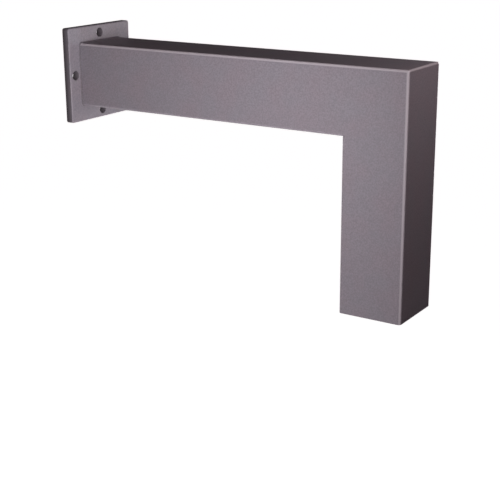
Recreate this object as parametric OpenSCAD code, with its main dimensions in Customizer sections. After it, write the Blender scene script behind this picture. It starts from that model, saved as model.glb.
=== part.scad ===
// Wall bracket welded from square steel tube: a screw plate, a level arm, and a leg that hangs from the arm's end.
// The leg's lower end is open, and is a socket for what the bracket carries.
// The origin is the middle of the plate's wall face. +X points out of the wall, and +Z points up.

/* [Square tube] */
// Outside width of the tube
tube_w = 40; // [30:1:60]
// Wall thickness of the tube
tube_wall = 1.5; // [1:0.1:3]
// Inside radius of the tube's long corners, which the outside radius follows
tube_inner_r = 0.5; // [0.3:0.1:2]

/* [Arm and leg] */
// From the wall to the outer face of the leg
reach = 235; // [120:1:400]
// From the top of the arm to the leg's open lower end
drop = 145; // [80:1:300]

/* [Wall plate] */
// Thickness of the plate
plate_t = 5; // [3:0.5:10]
// Rim of the plate around the arm, on each side
plate_rim = 10; // [9:1:30]
// Radius of the plate's four corners
plate_corner_r = 1.5; // [1:0.5:8]
// Bevel along the plate's front edge
plate_bevel = 0.5; // [0.2:0.1:1]
// Diameter of the screw holes, one in the middle of each side of the rim
hole_d = 6; // [4:0.5:7]

/* [Welds] */
// Leg length of the weld bead where the arm stands on the plate
foot_bead = 0.7; // [0.4:0.1:1]
// Root gap of the mitre joint, which the weld fills through the tube's wall
mitre_gap = 1.6; // [0.8:0.1:3]
// Radius that the outer edge of the mitre is ground to
grind_r = 1; // [0.3:0.1:1.5]

/* [Hidden] */
$fn = 64;

tube_outer_r = tube_inner_r + tube_wall;
half_w = tube_w / 2;
leg_x = reach - half_w;
leg_end_z = half_w - drop;
plate_w = tube_w + 2 * plate_rim;
hole_ring_r = half_w + plate_rim / 2;
mitre_angle = 45;
coat = "#857d85";
bead_coat = "#8f878f";
// How far a cutter reaches past what it cuts
over = 1;
// A cutter of this size covers the whole bracket
cutter = 2 * (reach + drop);

// A square with rounded corners, centred
module rounded_square(w, r) {
    square([w, w - 2 * r], center = true);
    square([w - 2 * r, w], center = true);
    for (x = [-1, 1], y = [-1, 1])
        translate([x * (w / 2 - r), y * (w / 2 - r)]) circle(r);
}

// A plate that stands across X on its back face, with the outline of a rounded square
module square_plate(w, r, t) {
    rotate([90, 0, 90]) linear_extrude(t) rounded_square(w, r);
}

// All that a 45 degree bevel cuts off round a square plate, up to a height over the outline it starts at
module past_bevel(w, r, height) {
    straight = w - 2 * r;
    for (side = [0:3]) rotate([90 * side, 0, 0]) {
        translate([0, -straight / 2 - over, w / 2])
            rotate([-90, -90, 0])
                linear_extrude(straight + 2 * over) past_bevel_section(height);
        translate([0, straight / 2, straight / 2])
            rotate([90, 0, 90])
                rotate_extrude(angle = 90)
                    translate([r, 0]) past_bevel_section(height);
    }
}

// The cross-section of what a bevel cuts off, with the outline at its origin
module past_bevel_section(height) {
    reach_out = height + over;
    polygon([[-height, height], [reach_out, -reach_out], [reach_out, height]]);
}

// All that lies past the rounding of a bar's edge: the edge runs along Z, and the bar lies in -X and -Y of it
module past_edge(r) {
    translate([-r, -r, -cutter / 2])
        linear_extrude(cutter)
            difference() {
                square(cutter);
                circle(r);
            }
}

// All that lies past the arm's upper edge on the +Y side
module past_arm_edge(w, r) {
    translate([0, w / 2, w / 2]) rotate([90, 0, 90]) past_edge(r);
}

// All that lies past the leg's outer edge on the +Y side
module past_leg_edge(w, r) {
    translate([leg_x + w / 2, w / 2, 0]) past_edge(r);
}

// A square bar that turns down at a sharp mitre, from x = start to z = end, with its long edges rounded.
// The outer roundings cross at the mitre, and so do the inner ones, which only cut where both of them reach.
module mitred_bar(w, r, start, end) {
    difference() {
        rotate([90, 0, 0]) linear_extrude(w, center = true) {
            translate([start, -w / 2]) square([leg_x + w / 2 - start, w]);
            translate([leg_x - w / 2, end]) square([w, w / 2 - end]);
        }
        for (side = [0, 1]) mirror([0, side, 0]) {
            past_arm_edge(w, r);
            past_leg_edge(w, r);
            intersection() {
                mirror([0, 0, 1]) past_arm_edge(w, r);
                translate([2 * leg_x, 0, 0]) mirror([1, 0, 0]) past_leg_edge(w, r);
            }
        }
    }
}

// The whole run of tube, from the plate to the leg's open end, which the two tubes and their weld share
module tube_run() {
    difference() {
        mitred_bar(tube_w, tube_outer_r, plate_t, leg_end_z);
        mitred_bar(tube_w - 2 * tube_wall, tube_inner_r, plate_t - over, leg_end_z - over);
        corner_grind();
    }
}

// What the grinder takes off the outer edge of the mitre
module corner_grind() {
    translate([reach, 0, half_w]) rotate([90, 0, 0]) past_edge(grind_r);
}

// Turns the X axis square to the mitre plane, with the arm on its negative side
module at_mitre() {
    translate([leg_x, 0, 0]) rotate([0, mitre_angle, 0]) children();
}

// Everything on the leg's side, from a distance past the mitre plane
module leg_side(from) {
    at_mitre() translate([from, -cutter / 2, -cutter / 2]) cube(cutter);
}

// Everything on the arm's side, up to a distance past the mitre plane
module arm_side(to) {
    at_mitre() translate([to - cutter, -cutter / 2, -cutter / 2]) cube(cutter);
}

module wall_plate() {
    color(coat) difference() {
        square_plate(plate_w, plate_corner_r, plate_t);
        translate([plate_t - plate_bevel, 0, 0])
            past_bevel(plate_w, plate_corner_r, plate_bevel + over);
        for (side = [0:3]) rotate([90 * side, 0, 0]) screw_hole();
    }
}

// A plain through hole in the middle of the rim's upper side
module screw_hole() {
    translate([-over, 0, hole_ring_r])
        rotate([0, 90, 0]) cylinder(d = hole_d, h = plate_t + 2 * over);
}

module arm_tube() {
    color(coat) difference() {
        tube_run();
        leg_side(-mitre_gap / 2);
    }
}

module leg_tube() {
    color(coat) difference() {
        tube_run();
        arm_side(mitre_gap / 2);
    }
}

// The weld fills the gap between the two mitred ends, and is ground flush with the tubes
module mitre_weld() {
    color(bead_coat) difference() {
        tube_run();
        arm_side(-mitre_gap / 2);
        leg_side(mitre_gap / 2);
    }
}

// A small fillet bead all round the arm where it stands on the plate
module foot_weld() {
    color(bead_coat) translate([plate_t, 0, 0]) difference() {
        square_plate(tube_w + 2 * (foot_bead + over), tube_outer_r + foot_bead + over, foot_bead);
        past_bevel(tube_w + 2 * foot_bead, tube_outer_r + foot_bead, foot_bead + over);
        translate([-over, 0, 0]) square_plate(tube_w, tube_outer_r, foot_bead + 2 * over);
    }
}

wall_plate();
arm_tube();
leg_tube();
mitre_weld();
foot_weld();
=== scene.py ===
# %% [markdown]
# # A powder-coated wall bracket
# The real bracket is welded from 40 mm square steel tube: a screw plate, a level arm and a leg that
# hangs from the arm's end. It is blasted, sprayed with powder and baked, so one satin skin covers
# plate, tube and welds alike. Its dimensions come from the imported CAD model, and the cells below
# add what CAD leaves out: eased edges, the ripple of a weld, the grain of the coat, and the light.

# %% Load the CAD model as the fixed frame
import math

import bmesh
import bpy
from mathutils import Matrix, Vector


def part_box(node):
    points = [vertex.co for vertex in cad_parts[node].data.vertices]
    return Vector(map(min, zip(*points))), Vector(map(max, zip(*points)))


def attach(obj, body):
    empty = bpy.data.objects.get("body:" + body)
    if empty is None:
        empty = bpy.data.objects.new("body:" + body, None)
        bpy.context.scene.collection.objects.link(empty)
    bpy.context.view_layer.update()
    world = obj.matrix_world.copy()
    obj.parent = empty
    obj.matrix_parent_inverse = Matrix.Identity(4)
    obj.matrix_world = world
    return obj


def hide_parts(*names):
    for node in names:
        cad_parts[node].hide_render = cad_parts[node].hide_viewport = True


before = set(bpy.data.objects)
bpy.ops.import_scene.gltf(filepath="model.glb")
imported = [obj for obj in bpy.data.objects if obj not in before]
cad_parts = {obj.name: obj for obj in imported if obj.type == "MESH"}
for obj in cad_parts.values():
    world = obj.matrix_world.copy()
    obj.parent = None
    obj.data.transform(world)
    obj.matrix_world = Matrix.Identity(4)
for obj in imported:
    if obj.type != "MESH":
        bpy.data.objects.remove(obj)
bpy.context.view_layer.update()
MM = 0.001


# %% [markdown]
# ## Sizes
# The pieces share a few sizes with the CAD source. Each is written once here, in metres, and what
# can be measured on a CAD node is measured, so that the dressing follows the frame if a size
# changes there.

# %% Sizes of the tube and the plate
arm_low, arm_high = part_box("arm_tube")
leg_low, leg_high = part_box("leg_tube")
tube_w = arm_high.z - arm_low.z
half_w = tube_w / 2
reach = leg_high.x
leg_x = reach - half_w
plate_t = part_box("wall_plate")[1].x
print("tube, reach and plate, mm:", [round(v / MM, 2) for v in (tube_w, reach, plate_t)])

# %% [markdown]
# ## Camera
# The photograph was taken from the right of the bracket and a little above it, with a longish lens
# from about 0.7 m, and the lens points below the bracket, which leaves room under it in the
# picture. The angles, the distance and the focal length were solved from the straight edges of the
# bracket, whose sizes are known. The camera is leant by less than a degree, because the picture is.

# %% Camera
AZIMUTH, ELEVATION, LEAN = math.radians(33.124), math.radians(17.225), math.radians(-0.340)
CAMERA_DISTANCE = 720.57 * MM
CAMERA_TARGET = Vector((120.42, 0.0, -103.9)) * MM
FOCAL_PX, IMAGE_PX, SENSOR_MM = 1145.63, 500, 36.0
# Far enough, in metres, that the floor isn't cut off
FAR_CLIP = 50


def camera_axes(azimuth, elevation, lean):
    """The camera's right, up and back directions: azimuth 0 looks along +Y."""
    back = Vector((
        math.sin(azimuth) * math.cos(elevation),
        -math.cos(azimuth) * math.cos(elevation),
        math.sin(elevation),
    ))
    level = Vector((math.cos(azimuth), math.sin(azimuth), 0.0))
    upright = back.cross(level)
    right = level * math.cos(lean) + upright * math.sin(lean)
    return right, back.cross(right), back


right, up, back = camera_axes(AZIMUTH, ELEVATION, LEAN)
lens = bpy.data.cameras.new("photo_camera")
lens.sensor_width = SENSOR_MM
lens.lens = FOCAL_PX * SENSOR_MM / IMAGE_PX
lens.clip_end = FAR_CLIP
camera = bpy.data.objects.new("photo_camera", lens)
turned = Matrix((right, up, back)).transposed().to_4x4()
camera.matrix_world = Matrix.Translation(CAMERA_TARGET + back * CAMERA_DISTANCE) @ turned
bpy.context.scene.collection.objects.link(camera)
bpy.context.scene.camera = camera
print("camera at", [round(v, 4) for v in camera.location], "lens", round(lens.lens, 1), "mm")

# %% [markdown]
# ## Colours and nodes
# Shaders mix light in linear values, while colours are picked and written as sRGB hex. One function
# turns the one into the other. A second one adds a node, sets its inputs and links it, which keeps
# each material readable as a list of what feeds what.

# %% Helpers for materials


def linear(hex_colour):
    """An sRGB hex colour as linear RGBA, by the curve of the sRGB standard."""
    values = [int(hex_colour[i:i + 2], 16) / 255 for i in (1, 3, 5)]
    return tuple(
        v / 12.92 if v <= 0.04045 else ((v + 0.055) / 1.055) ** 2.4 for v in values
    ) + (1.0,)


def add_node(tree, kind, links=None, values=None, **settings):
    """Adds a node: links go from a socket to another node's output, values to a socket, and
    settings to the node itself."""
    node = tree.nodes.new(kind)
    for name, setting in settings.items():
        setattr(node, name, setting)
    for socket, value in (values or {}).items():
        node.inputs[socket].default_value = value
    for socket, source in (links or {}).items():
        tree.links.new(source, node.inputs[socket])
    return node


def new_material(name):
    """An empty node material, and its tree."""
    material = bpy.data.materials.new(name)
    material.use_nodes = True
    material.node_tree.nodes.clear()
    return material, material.node_tree


print("middle grey #808080 is", round(linear("#808080")[0], 3), "in linear light")

# %% [markdown]
# ## Textured powder coat
# Powder coat is a polyester film about 0.08 mm thick that melts and sets over the steel. The
# fine-textured grade doesn't flow out to gloss: it sets with a grain of about half a millimetre,
# which scatters light and makes the colour look soft and slightly speckled. Noise on Object
# coordinates makes the grain, because all pieces share the same origin, so the pattern runs
# unbroken across the welds as the real skin does.

# %% Grain and drift of the coat
# A film's colour is a warmer and a cooler grey that it drifts between
TUBE_FILM = ("#867d85", "#847e86")
CLOUD = 16 * MM
CLOUD_LOW, CLOUD_HIGH = 0.35, 0.65
# The grain is about twice as coarse as the real one, because a finer one is lost between two pixels
SPECK = 0.9 * MM
SPECK_LOW, SPECK_HIGH = 0.3, 0.7
# How much darker or lighter than the film a speck may be
SPECK_TONE = 0.12


def coat_pattern(tree, place, film):
    """The coat's mottled colour, and its grain as a height."""
    warm, cool = film
    # The film varies a little in thickness, and its hue drifts with that over a finger's width
    drift = add_node(tree, "ShaderNodeTexNoise", {"Vector": place},
                     {"Scale": 1 / CLOUD, "Detail": 2.0, "Roughness": 0.5})
    blend = add_node(tree, "ShaderNodeMapRange", {"Value": drift.outputs["Fac"]},
                     {"From Min": CLOUD_LOW, "From Max": CLOUD_HIGH})
    hue = add_node(tree, "ShaderNodeMix", {"Factor": blend.outputs[0]},
                   {"A": linear(warm), "B": linear(cool)}, data_type="RGBA")
    speck = add_node(tree, "ShaderNodeTexNoise", {"Vector": place},
                     {"Scale": 1 / SPECK, "Detail": 1.0, "Roughness": 0.6})
    tone = add_node(tree, "ShaderNodeMapRange", {"Value": speck.outputs["Fac"]},
                    {"From Min": SPECK_LOW, "From Max": SPECK_HIGH,
                     "To Min": 1 - SPECK_TONE, "To Max": 1 + SPECK_TONE})
    mottled = add_node(tree, "ShaderNodeVectorMath",
                       {0: hue.outputs["Result"], "Scale": tone.outputs[0]}, operation="SCALE")
    return mottled.outputs[0], speck.outputs["Fac"]


print("grain", round(SPECK / MM, 1), "mm, drift over", round(CLOUD / MM), "mm")

# %% [markdown]
# ## Painted edge highlight
# Light catches the rounded outer edges of the bend: the arm's upper edges, the leg's outer edges
# and the ground corner between them. That highlight is painted into the coat as a thin pale line.
# Powder also draws back from a convex edge as it melts, and packing and handling rub what is left
# there, so a small part of the paleness is real wear. The line is painted by place: across a
# rounding, the product of how far the surface has gone in either direction is 0 where the flats
# begin and 0.5 in the middle. What is left of the film there is polished, so the line is smoother
# than the coat beside it. The leg's painted highlight is a little weaker than the arm's.

# %% Where the edge highlight is painted
# Outside radius of the tube's long edges
EDGE_R = 2.0 * MM
# The ground corner is rounded by only 1 mm, but its painted highlight reaches a little further in
# on both sides
GROUND = 1.6 * MM
# How strong the leg's painted highlight is, against the arm's
LEG_HIGHLIGHT_SHARE = 0.82
# The products at which the painted highlight starts and is full
HIGHLIGHT_START, HIGHLIGHT_FULL = 0.16, 0.5


def painted_edge_highlight(tree, place):
    """The painted highlight's share: 1 in the middle of the bend's outer edges, and 0 off them."""
    axis = add_node(tree, "ShaderNodeSeparateXYZ", {"Vector": place}).outputs
    side = add_node(tree, "ShaderNodeMath", {0: axis["Y"]}, operation="ABSOLUTE")
    part = {}
    for name, source, limit, radius, highlight_share in (
        ("side", side.outputs[0], half_w, EDGE_R, 1.0),
        ("top", axis["Z"], half_w, EDGE_R, 1.0),
        ("outer", axis["X"], reach, EDGE_R, LEG_HIGHLIGHT_SHARE),
        ("ground_top", axis["Z"], half_w, GROUND, 1.0),
        ("ground_outer", axis["X"], reach, GROUND, 1.0),
    ):
        part[name] = add_node(
            tree, "ShaderNodeMapRange", {"Value": source},
            {"From Min": limit - radius, "From Max": limit, "To Max": highlight_share}).outputs[0]
    highlight_line = None
    for one, other in (("side", "top"), ("side", "outer"), ("ground_top", "ground_outer")):
        line = add_node(tree, "ShaderNodeMath", {0: part[one], 1: part[other]},
                        operation="MULTIPLY").outputs[0]
        if highlight_line:
            line = add_node(tree, "ShaderNodeMath", {0: highlight_line, 1: line},
                            operation="MAXIMUM").outputs[0]
        highlight_line = line
    return add_node(tree, "ShaderNodeMapRange", {"Value": highlight_line},
                    {"From Min": HIGHLIGHT_START, "From Max": HIGHLIGHT_FULL},
                    interpolation_type="SMOOTHSTEP").outputs[0]


print("pale line across a rounding of", round(EDGE_R / MM, 1), "mm")

# %% [markdown]
# ## The coat on the tube, the plate and the bead
# The Principled shader takes the pattern as its base colour, the grain as a bump, and a satin
# roughness of about 0.55, which spreads a lamp's reflection so wide that it shows as a tone and not
# as a spot. The grain also traps part of what a smooth film would mirror, so the specular level is
# low. The plate's film is painted paler than the tube's, which is painted light on its face, and
# the weld bead's film is painted darker, which is painted shade on its ripples.

# %% Powder coat on the steel
# The roughness of the film, and how far the grain moves it up and down
SATIN, SATIN_SPREAD = 0.55, 0.05
COAT_IOR, COAT_SPECULAR = 1.5, 0.2
GRAIN_DEPTH, GRAIN_STRENGTH = 0.06 * MM, 0.5


def powder_coat(name, film, where=None, other=None, other_roughness=SATIN):
    """Polyester powder coat, fine texture: satin, IOR about 1.5, which gives the eye a soft grey
    skin. A function may say where the coat takes another colour and roughness."""
    material, tree = new_material(name)
    place = add_node(tree, "ShaderNodeTexCoord").outputs["Object"]
    colour, grain = coat_pattern(tree, place, film)
    rough = add_node(tree, "ShaderNodeMapRange", {"Value": grain},
                     {"From Min": SPECK_LOW, "From Max": SPECK_HIGH,
                      "To Min": SATIN - SATIN_SPREAD, "To Max": SATIN + SATIN_SPREAD}).outputs[0]
    if where:
        share = where(tree, place)
        colour = add_node(tree, "ShaderNodeMix", {"Factor": share, "A": colour},
                          {"B": linear(other)}, data_type="RGBA").outputs["Result"]
        rough = add_node(tree, "ShaderNodeMapRange", {"Value": share, "To Min": rough},
                         {"To Max": other_roughness}).outputs[0]
    bump = add_node(tree, "ShaderNodeBump", {"Height": grain},
                    {"Strength": GRAIN_STRENGTH, "Distance": GRAIN_DEPTH})
    shader = add_node(tree, "ShaderNodeBsdfPrincipled",
                      {"Base Color": colour, "Roughness": rough, "Normal": bump.outputs[0]},
                      {"IOR": COAT_IOR, "Specular IOR Level": COAT_SPECULAR})
    add_node(tree, "ShaderNodeOutputMaterial", {"Surface": shader.outputs[0]})
    return material


# The painted edge highlight's pale colour, and the smoother film under it
EDGE_HIGHLIGHT, EDGE_HIGHLIGHT_ROUGHNESS = "#c4bcc3", 0.25
# The plate's paler film is painted light on its face
PLATE_FILM_PAINTED_LIGHT = ("#938a92", "#908a93")
# The bead's darker film is painted shade on its ripples
BEAD_FILM_PAINTED_SHADE = ("#776d74", "#746e75")
coat = powder_coat("powder_coat_fine_texture_painted_edge_highlight", TUBE_FILM, painted_edge_highlight, EDGE_HIGHLIGHT, EDGE_HIGHLIGHT_ROUGHNESS)
plate_coat_painted_light = powder_coat("powder_coat_on_plate_painted_light", PLATE_FILM_PAINTED_LIGHT)
weld_coat_painted_shade = powder_coat("powder_coat_on_weld_painted_shade", BEAD_FILM_PAINTED_SHADE)
print("coat, linear:", [[round(v, 3) for v in linear(c)[:3]] for c in TUBE_FILM])

# %% [markdown]
# ## Painted shade on the plate's cut edges
# The plate is cut by laser, which leaves a hard dark skin on its edges and in its holes, where
# powder holds less well. The darker film there is mostly painted shade, and the darkest band, along
# the edge next to the wall, is painted shade.

# %% Painted shade on the cut edges
CUT_EDGE_FILM_PAINTED_SHADE, WALL_EDGE_PAINTED_SHADE = ("#766d74", "#726d75"), "#403a3f"
# The share of the plate's thickness, next to the wall, where the painted shade is darkest
WALL_SHADE_SHARE = 0.2


def painted_wall_shade(tree, place):
    """The painted shade's share: 1 next to the wall, falling to 0 at the plate's front."""
    depth = add_node(tree, "ShaderNodeSeparateXYZ", {"Vector": place}).outputs["X"]
    return add_node(tree, "ShaderNodeMapRange", {"Value": depth},
                    {"From Min": WALL_SHADE_SHARE * plate_t, "From Max": plate_t,
                     "To Min": 1.0, "To Max": 0.0}).outputs[0]


# A darker film of painted shade on the cut edges and hole walls
cut_edge_painted_shade = powder_coat("powder_coat_cut_edge_painted_shade", CUT_EDGE_FILM_PAINTED_SHADE, painted_wall_shade, WALL_EDGE_PAINTED_SHADE)
print("thinnest within", round(WALL_SHADE_SHARE * plate_t / MM, 1), "mm of the wall")

# %% [markdown]
# ## Inside of the tube
# The spray reaches only a little way into an open tube, because the charged powder settles on the
# first steel it meets. The coat is full at the leg's rim and thins out over about one tube width,
# and behind it the tube keeps the dark blue-grey skin of the rolling mill. Noise breaks the border
# between the two.

# %% Mill steel with overspray
SPRAY_REACH = 45 * MM
# The share of that reach, from the rim, where the coat is full
FULL_COAT_SHARE = 0.2
# The border wanders up and down by this much, in spots of this size
RAGGED_BY, RAGGED_SPOT = 12 * MM, 9 * MM
# The colour of the mill's skin, and how much darker or lighter than that its spots are
MILL_STEEL, MILL_TONE = "#4b4a4d", 0.3
MILL_METALLIC, MILL_ROUGHNESS = 0.6, 0.55


def bare_share(tree, place, ragged):
    """1 deep in the tube, where no powder reaches, and 0 at the leg's rim."""
    height = add_node(tree, "ShaderNodeSeparateXYZ", {"Vector": place}).outputs["Z"]
    shift = add_node(tree, "ShaderNodeMapRange", {"Value": ragged},
                     {"To Min": -RAGGED_BY, "To Max": RAGGED_BY})
    level = add_node(tree, "ShaderNodeMath", {0: height, 1: shift.outputs[0]}, operation="ADD")
    return add_node(tree, "ShaderNodeMapRange", {"Value": level.outputs[0]},
                    {"From Min": leg_low.z + FULL_COAT_SHARE * SPRAY_REACH,
                     "From Max": leg_low.z + SPRAY_REACH},
                    interpolation_type="SMOOTHSTEP").outputs[0]


def inside_finish(name):
    """Bare mill steel that the coat runs out on: dark and half metallic inside, grey and satin at
    the rim."""
    material, tree = new_material(name)
    place = add_node(tree, "ShaderNodeTexCoord").outputs["Object"]
    mottled, grain = coat_pattern(tree, place, TUBE_FILM)
    ragged = add_node(tree, "ShaderNodeTexNoise", {"Vector": place},
                      {"Scale": 1 / RAGGED_SPOT, "Detail": 3.0}).outputs["Fac"]
    bare = bare_share(tree, place, ragged)
    scale = add_node(tree, "ShaderNodeMapRange", {"Value": ragged},
                     {"To Min": 1 - MILL_TONE, "To Max": 1 + MILL_TONE})
    steel = add_node(tree, "ShaderNodeVectorMath", {"Scale": scale.outputs[0]},
                     {0: linear(MILL_STEEL)[:3]}, operation="SCALE")
    colour = add_node(tree, "ShaderNodeMix", {"Factor": bare, "A": mottled, "B": steel.outputs[0]},
                      data_type="RGBA")
    metal = add_node(tree, "ShaderNodeMath", {0: bare}, {1: MILL_METALLIC}, operation="MULTIPLY")
    bump = add_node(tree, "ShaderNodeBump", {"Height": grain},
                    {"Strength": GRAIN_STRENGTH, "Distance": GRAIN_DEPTH})
    shader = add_node(tree, "ShaderNodeBsdfPrincipled",
                      {"Base Color": colour.outputs["Result"], "Metallic": metal.outputs[0],
                       "Normal": bump.outputs[0]},
                      {"Roughness": MILL_ROUGHNESS})
    add_node(tree, "ShaderNodeOutputMaterial", {"Surface": shader.outputs[0]})
    return material


inside = inside_finish("mill_steel_with_overspray")
print("spray reaches", round(SPRAY_REACH / MM), "mm into the leg")

# %% [markdown]
# ## Steel pieces with eased edges
# Nothing that was sawn, blasted and coated keeps a sharp edge: each one ends in a small radius that
# catches a thin line of light. The CAD meshes are loose triangles, so a copy of each is merged, its
# flat faces are joined into single polygons, and a Bevel modifier eases the edges that are meant to
# be sharp. The cuts inside the mitre joint and at the arm's foot are left square, because the welds
# fill them flush.

# %% Faces that a weld covers
MITRE_NORMAL = Vector((1, 0, -1)).normalized()
MITRE_POINT = Vector((leg_x, 0, 0))
# The cuts of the mitre lie within this distance of its plane
MITRE_BAND = 2 * MM
# The least cosine between two directions that count as the same
ALIGNED = 0.999
TOUCHING = 0.01 * MM


def on_weld_face(normal, point):
    """Whether a face is one of the hidden cuts of the mitre, or the arm's end on the plate."""
    off_mitre = abs((point - MITRE_POINT).dot(MITRE_NORMAL))
    in_mitre = abs(normal.dot(MITRE_NORMAL)) > ALIGNED and off_mitre < MITRE_BAND
    at_foot = abs(normal.x) > ALIGNED and abs(point.x - plate_t) < TOUCHING
    return in_mitre or at_foot


print("mitre through", [round(v / MM, 1) for v in MITRE_POINT], "mm")

# %% Edges to ease
SHARP = math.radians(35)


def mark_sharp_edges(node, shape):
    """Gives the edges that are to be eased a bevel weight, and counts them."""
    weight = shape.edges.layers.float.new("bevel_weight_edge")
    marked = 0
    for edge in shape.edges:
        if edge.calc_face_angle(0) < SHARP:
            continue
        faces = edge.link_faces
        if node != "wall_plate" and any(on_weld_face(f.normal, edge.verts[0].co) for f in faces):
            edge.smooth = False
            continue
        edge[weight] = 1.0
        marked += 1
    return marked


print("edges are eased where they turn by", round(math.degrees(SHARP)), "degrees or more")

# %% Copy of a CAD node with eased edges
EASE, EASE_STEPS = 0.3 * MM, 3
# Corners closer than this are one, and faces turned by less than this are one flat
MERGE, FLAT = 0.0005 * MM, math.radians(0.2)


def eased_copy(node):
    """A merged copy of a CAD node, whose free sharp edges are rounded."""
    shape = bmesh.new()
    shape.from_mesh(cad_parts[node].data)
    bmesh.ops.remove_doubles(shape, verts=shape.verts, dist=MERGE)
    bmesh.ops.dissolve_limit(shape, angle_limit=FLAT, verts=shape.verts, edges=shape.edges)
    marked = mark_sharp_edges(node, shape)
    mesh = bpy.data.meshes.new(node + "_dressed")
    shape.to_mesh(mesh)
    shape.free()
    mesh.polygons.foreach_set("use_smooth", [True] * len(mesh.polygons))
    piece = bpy.data.objects.new(node + "_dressed", mesh)
    bpy.context.scene.collection.objects.link(piece)
    bevel = piece.modifiers.new("eased_edges", "BEVEL")
    bevel.limit_method, bevel.width, bevel.segments = "WEIGHT", EASE, EASE_STEPS
    bevel.use_clamp_overlap = True
    # Weighted normals keep the flats flat up to their roundings
    flats = piece.modifiers.new("flat_faces", "WEIGHTED_NORMAL")
    flats.keep_sharp = True
    print(node, "has", marked, "edges to ease,", len(mesh.polygons), "faces")
    return piece


# %% [markdown]
# ## Finish on each face
# The modifiers are baked into a plain mesh first, and then each face gets its finish by where it
# lies: the coat outside, painted paler on the plate as painted light, the darker coat of painted
# shade on the plate's cut edges and hole walls, and mill steel inside the tube.

# %% Bake and finish
TUBE_WALL, SPARE = 1.5 * MM, 0.1 * MM
# Half the width of the tube's hollow, and a little to spare
HOLLOW = half_w - TUBE_WALL + SPARE
# The plate's faces whose normals have less of X than this are its cut edges and hole walls
CUT_EDGE = 0.3


def in_hollow(points):
    """Whether a face lies on the inner wall of the tube."""
    return all(
        abs(p.y) < HOLLOW and p.z < HOLLOW and p.x - leg_x < HOLLOW
        and (abs(p.z) < HOLLOW or abs(p.x - leg_x) < HOLLOW)
        for p in points
    )


def bake(piece):
    """Turns a piece and its modifiers into a plain mesh."""
    depsgraph = bpy.context.evaluated_depsgraph_get()
    mesh = bpy.data.meshes.new_from_object(piece.evaluated_get(depsgraph), depsgraph=depsgraph)
    mesh.name = piece.name
    piece.modifiers.clear()
    piece.data = mesh
    return mesh


def finish_faces(node, mesh):
    """Gives each face its material, and counts them."""
    mesh.materials.clear()
    plate = node == "wall_plate"
    for finish in (plate_coat_painted_light, cut_edge_painted_shade) if plate else (coat, inside):
        mesh.materials.append(finish)
    for face in mesh.polygons:
        if plate:
            second = abs(face.normal.x) < CUT_EDGE
        else:
            second = in_hollow([mesh.vertices[v].co for v in face.vertices])
        face.material_index = int(second)
    return [sum(face.material_index == i for face in mesh.polygons) for i in range(2)]


def dress(piece, *nodes):
    """The piece stands for CAD nodes, moves with the bracket and carries the powder coat."""
    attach(piece, "root")
    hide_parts(*nodes)


for name in ("wall_plate", "arm_tube", "leg_tube", "mitre_weld"):
    steel_piece = eased_copy(name)
    print(name, "faces with its two finishes:", finish_faces(name, bake(steel_piece)))
    dress(steel_piece, name)

# %% [markdown]
# ## Weld bead at the arm's foot
# The welder laid one thin bead round the arm where it stands on the plate. A bead is a row of small
# overlapping pools, so it follows a path and repeats, which is work for Geometry Nodes: a rounded
# square is the path, a quarter-round is swept along it, and the radius swells and shrinks once for
# each pool.

# %% Tree of the bead
# Steps along the path for each pool and round each corner, and points across the quarter-round
POOL_STEPS, CORNER_STEPS, ROUND_STEPS = 6, 6, 7

bead_tree = bpy.data.node_groups.new("rippled_weld_bead", "GeometryNodeTree")
bead_input = {}
for name, kind in (("Side", "Float"), ("Corner Radius", "Float"), ("Bead Leg", "Float"),
                   ("Pools", "Int"), ("Ripple", "Float"), ("Height Over Wall", "Float"),
                   ("Finish", "Material")):
    bead_input[name] = bead_tree.interface.new_socket(
        name, in_out="INPUT", socket_type="NodeSocket" + kind).identifier
bead_tree.interface.new_socket("Geometry", in_out="OUTPUT", socket_type="NodeSocketGeometry")

given = add_node(bead_tree, "NodeGroupInput").outputs
square = add_node(bead_tree, "GeometryNodeCurvePrimitiveQuadrilateral",
                  {"Width": given["Side"], "Height": given["Side"]}, mode="RECTANGLE")
rounded = add_node(bead_tree, "GeometryNodeFilletCurve",
                   {"Curve": square.outputs[0], "Radius": given["Corner Radius"]},
                   {"Count": CORNER_STEPS}, mode="POLY")
steps = add_node(bead_tree, "ShaderNodeMath", {0: given["Pools"]}, {1: POOL_STEPS},
                 operation="MULTIPLY")
path = add_node(bead_tree, "GeometryNodeResampleCurve",
                {"Curve": rounded.outputs[0], "Count": steps.outputs[0]}, mode="COUNT")
print("bead tree inputs:", list(bead_input))

# %% [markdown]
# ## Swell of the pools
# Along the path, the absolute value of a sine has one arch for each pool and a sharp valley between
# two of them, which is how one frozen pool laps over the last. The tree ends by making real
# geometry, with its finish set.

# %% Radius of the bead along its path
along = add_node(bead_tree, "GeometryNodeSplineParameter").outputs["Factor"]
turn = add_node(bead_tree, "ShaderNodeMath", {0: along, 1: given["Pools"]}, operation="MULTIPLY")
angle = add_node(bead_tree, "ShaderNodeMath", {0: turn.outputs[0]}, {1: math.pi},
                 operation="MULTIPLY")
wave = add_node(bead_tree, "ShaderNodeMath", {0: angle.outputs[0]}, operation="SINE")
arch = add_node(bead_tree, "ShaderNodeMath", {0: wave.outputs[0]}, operation="ABSOLUTE")
valley = add_node(bead_tree, "ShaderNodeMath", {1: arch.outputs[0]}, {0: 1.0},
                  operation="SUBTRACT")
loss = add_node(bead_tree, "ShaderNodeMath", {0: valley.outputs[0], 1: given["Ripple"]},
                operation="MULTIPLY")
radius = add_node(bead_tree, "ShaderNodeMath", {0: given["Bead Leg"], 1: loss.outputs[0]},
                  operation="SUBTRACT")
print("bead tree has", len(bead_tree.nodes), "nodes so far")

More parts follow.
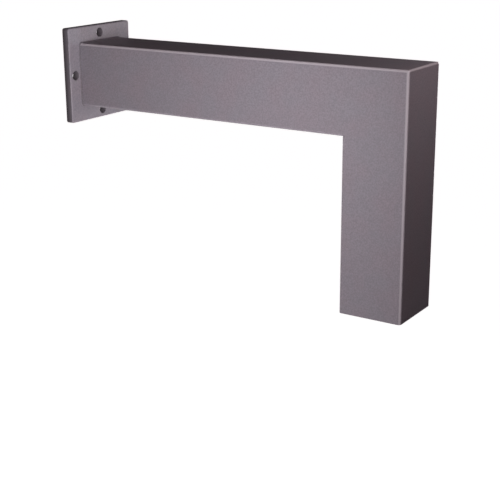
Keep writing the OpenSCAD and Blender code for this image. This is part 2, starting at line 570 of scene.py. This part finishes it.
# %% Sweep of the bead
quarter = add_node(
    bead_tree, "GeometryNodeCurveArc", mode="RADIUS",
    values={"Resolution": ROUND_STEPS, "Radius": 1.0, "Start Angle": math.radians(-90),
            "Sweep Angle": math.radians(90), "Connect Center": True})
swept = add_node(bead_tree, "GeometryNodeCurveToMesh", {
    "Curve": path.outputs[0], "Profile Curve": quarter.outputs[0], "Scale": radius.outputs[0]})
offset = add_node(bead_tree, "ShaderNodeCombineXYZ", {"X": given["Height Over Wall"]})
stood = add_node(bead_tree, "GeometryNodeTransform",
                 {"Geometry": swept.outputs[0], "Translation": offset.outputs[0]},
                 {"Rotation": (math.radians(90), 0.0, math.radians(90))})
smooth = add_node(bead_tree, "GeometryNodeSetShadeSmooth", {"Geometry": stood.outputs[0]})
real = add_node(bead_tree, "GeometryNodeRealizeInstances", {"Geometry": smooth.outputs[0]})
coated = add_node(bead_tree, "GeometryNodeSetMaterial",
                  {"Geometry": real.outputs[0], "Material": given["Finish"]})
add_node(bead_tree, "NodeGroupOutput", {"Geometry": coated.outputs[0]})
print("bead tree has", len(bead_tree.nodes), "nodes")

# %% Bead on the plate
BEAD_LEG = 0.7 * MM
BEAD_PITCH = 1.3 * MM
RIPPLE_SHARE = 0.25

bead_path = 4 * (tube_w - 2 * EDGE_R) + 2 * math.pi * EDGE_R
pools = round(bead_path / BEAD_PITCH)
bead = bpy.data.objects.new("foot_weld_dressed", bpy.data.meshes.new("foot_weld_dressed"))
bpy.context.scene.collection.objects.link(bead)
laid = bead.modifiers.new("rippled_weld_bead", "NODES")
laid.node_group = bead_tree
for name, value in (("Side", tube_w), ("Corner Radius", EDGE_R), ("Bead Leg", BEAD_LEG),
                    ("Pools", pools), ("Ripple", RIPPLE_SHARE * BEAD_LEG),
                    ("Height Over Wall", plate_t), ("Finish", weld_coat_painted_shade)):
    laid[bead_input[name]] = value
bead_mesh = bake(bead)
dress(bead, "foot_weld")
print("bead of", pools, "pools,", len(bead_mesh.polygons), "faces, finish",
      [m.name for m in bead_mesh.materials])

# %% [markdown]
# ## Floor and background
# The bracket hangs in a white studio. The floor is pale and far below the bracket, and it shows as
# plain white to the camera wherever no shadow lies on it. The world is white for the camera and for
# reflections, and lights the bracket only weakly, so that the lamps give it its form.

# %% Floor
FLOOR_Z, FLOOR_SIZE = -0.45, 16.0
PAPER, PAPER_GLOW = "#e6e6e6", 0.975


def seen_directly(tree):
    """1 for what the camera sees, also through a reflection or through glass, and 0 for scattered
    light."""
    path = add_node(tree, "ShaderNodeLightPath").outputs
    mirrored = add_node(tree, "ShaderNodeMath",
                        {0: path["Is Camera Ray"], 1: path["Is Glossy Ray"]}, operation="MAXIMUM")
    return add_node(tree, "ShaderNodeMath",
                    {0: mirrored.outputs[0], 1: path["Is Transmission Ray"]},
                    operation="MAXIMUM").outputs[0]


def flat_panel(name, corners, material):
    """A single face between four corners."""
    mesh = bpy.data.meshes.new(name)
    mesh.from_pydata(corners, [], [(0, 1, 2, 3)])
    mesh.materials.append(material)
    panel = bpy.data.objects.new(name, mesh)
    bpy.context.scene.collection.objects.link(panel)
    return panel


CORNER_SIGNS = ((-1, -1), (1, -1), (1, 1), (-1, 1))
paper, tree = new_material("white_studio_paper")
lit = add_node(tree, "ShaderNodeBsdfDiffuse", values={"Color": linear(PAPER)})
glow = add_node(tree, "ShaderNodeEmission", {"Strength": seen_directly(tree)},
                {"Color": (PAPER_GLOW, PAPER_GLOW, PAPER_GLOW, 1)})
both = add_node(tree, "ShaderNodeAddShader", {0: lit.outputs[0], 1: glow.outputs[0]})
add_node(tree, "ShaderNodeOutputMaterial", {"Surface": both.outputs[0]})
half = FLOOR_SIZE / 2
floor = flat_panel("studio_floor", [(u * half, v * half, FLOOR_Z) for u, v in CORNER_SIGNS], paper)
print("floor at", FLOOR_Z, "m")

# %% World
WORLD_FILL, FILL_TINT, BACKGROUND = 0.062, "#ffb9c8", "#ffffff"

world = bpy.data.worlds.new("white_studio")
bpy.context.scene.world = world
world.use_nodes = True
tree = world.node_tree
tree.nodes.clear()
strength = add_node(tree, "ShaderNodeMapRange", {"Value": seen_directly(tree)},
                    {"To Min": WORLD_FILL, "To Max": 1.0})
tint = add_node(tree, "ShaderNodeMix", {"Factor": seen_directly(tree)},
                {"A": linear(FILL_TINT), "B": linear(BACKGROUND)}, data_type="RGBA")
surround = add_node(tree, "ShaderNodeBackground",
                    {"Strength": strength.outputs[0], "Color": tint.outputs["Result"]})
add_node(tree, "ShaderNodeOutputWorld", {"Surface": surround.outputs[0]})
print("world fill", WORLD_FILL)

# %% [markdown]
# ## Black cards
# A satin coat mirrors what stands around it, most of all where it is seen at a flat angle. The top
# of the arm and the outer face of the leg look dark on the real bracket, because they mirror
# something dark. A photographer does that with black cards: a wide one up behind the bracket, and
# one behind it on the right. Here the cards are hidden from the camera, so each may hang where it
# works best.

# %% Cards
CARD_BLACK = "#1c1315"

velvet, tree = new_material("black_card")
cloth = add_node(tree, "ShaderNodeBsdfDiffuse", values={"Color": linear(CARD_BLACK)})
add_node(tree, "ShaderNodeOutputMaterial", {"Surface": cloth.outputs[0]})


def card(name, centre, aim, width, height):
    """A rectangular card that faces a point and isn't seen itself."""
    face = (Vector(aim) - Vector(centre)).normalized()
    across = face.cross(Vector((0, 0, 1))).normalized() * width / 2
    rise = across.cross(face).normalized() * height / 2
    corners = [Vector(centre) + u * across + v * rise for u, v in CORNER_SIGNS]
    flag = flat_panel(name, corners, velvet)
    flag.visible_camera = False


card("card_above", (-0.3, 0.5, 0.67), (-0.2, 0, 0.52), 3.4, 1.45)
card("card_right", (0.55, 0.28, -0.17), (0.235, 0, -0.06), 0.9, 0.6)

# %% [markdown]
# ## Light
# On the real bracket the front is light, and the arm's top and the leg's outer face are dark. So
# the three strips in front stay level with the arm and inside the plane of the leg's outer face,
# where neither of the dark faces gets their light: two are for the arm and one is for the leg. Two
# small lamps bring out the bend's ground corner, and one reaches the plate's upper rim over the
# arm. The last three light the back, the wall side and the underside about as much as the front, so
# that the coat looks the same from every side.

# %% Lamps
WHITE, WARM_WHITE = "#ffffff", "#fff1ef"


def soft_box(name, place, aim, width, height, watts, colour):
    """A rectangular area lamp that faces a point and isn't seen itself."""
    light = bpy.data.lights.new(name, "AREA")
    light.color = linear(colour)[:3]
    light.shape, light.size, light.size_y, light.energy = "RECTANGLE", width, height, watts
    lamp = bpy.data.objects.new(name, light)
    lamp.location = Vector(place)
    lamp.rotation_euler = (Vector(aim) - lamp.location).to_track_quat("-Z", "Y").to_euler()
    lamp.visible_camera = False
    bpy.context.scene.collection.objects.link(lamp)


# Each row is a name, the lamp's place and aim, its width and height, its watts and its colour
for row in (
    ("strip_level", (0.228, -0.2, 0.012), (0, -0.15, 0.012), 0.12, 0.05, 0.22, WHITE),
    ("strip_far", (0.232, -0.32, 0), (0, -0.2, 0), 0.15, 0.1, 0.47, WHITE),
    ("strip_down", (0.232, -0.25, -0.03), (0.1, 0, -0.03), 0.1, 0.08, 0.19, WHITE),
    ("corner_fill", (0.35, 0, 0.08), (0.235, 0, 0), 0.06, 0.06, 0.074, WARM_WHITE),
    ("back_rim", (0.289, 0.162, 0.124), (0.235, 0, 0.02), 0.05, 0.05, 0.038, WHITE),
    ("plate_fill", (0.2, 0.3, 0.025), (0, 0.02, 0.02), 0.08, 0.05, 0.3, WHITE),
    ("back_key", (-0.1, 0.65, -0.12), (0.1, 0, -0.05), 0.6, 0.24, 3.2, WHITE),
    ("wall_side", (-0.45, 0.2, -0.06), (0, 0, -0.03), 0.2, 0.15, 2.0, WHITE),
    ("below", (0.1, -0.06, -0.42), (0.16, 0, 0), 0.25, 0.2, 0.7, WHITE),
):
    soft_box(*row)

# %% [markdown]
# ## Render settings
# The Standard view keeps colours as they are written, so the coat can be compared with its hex
# value.

# %% View
bpy.context.scene.view_settings.view_transform = "Standard"
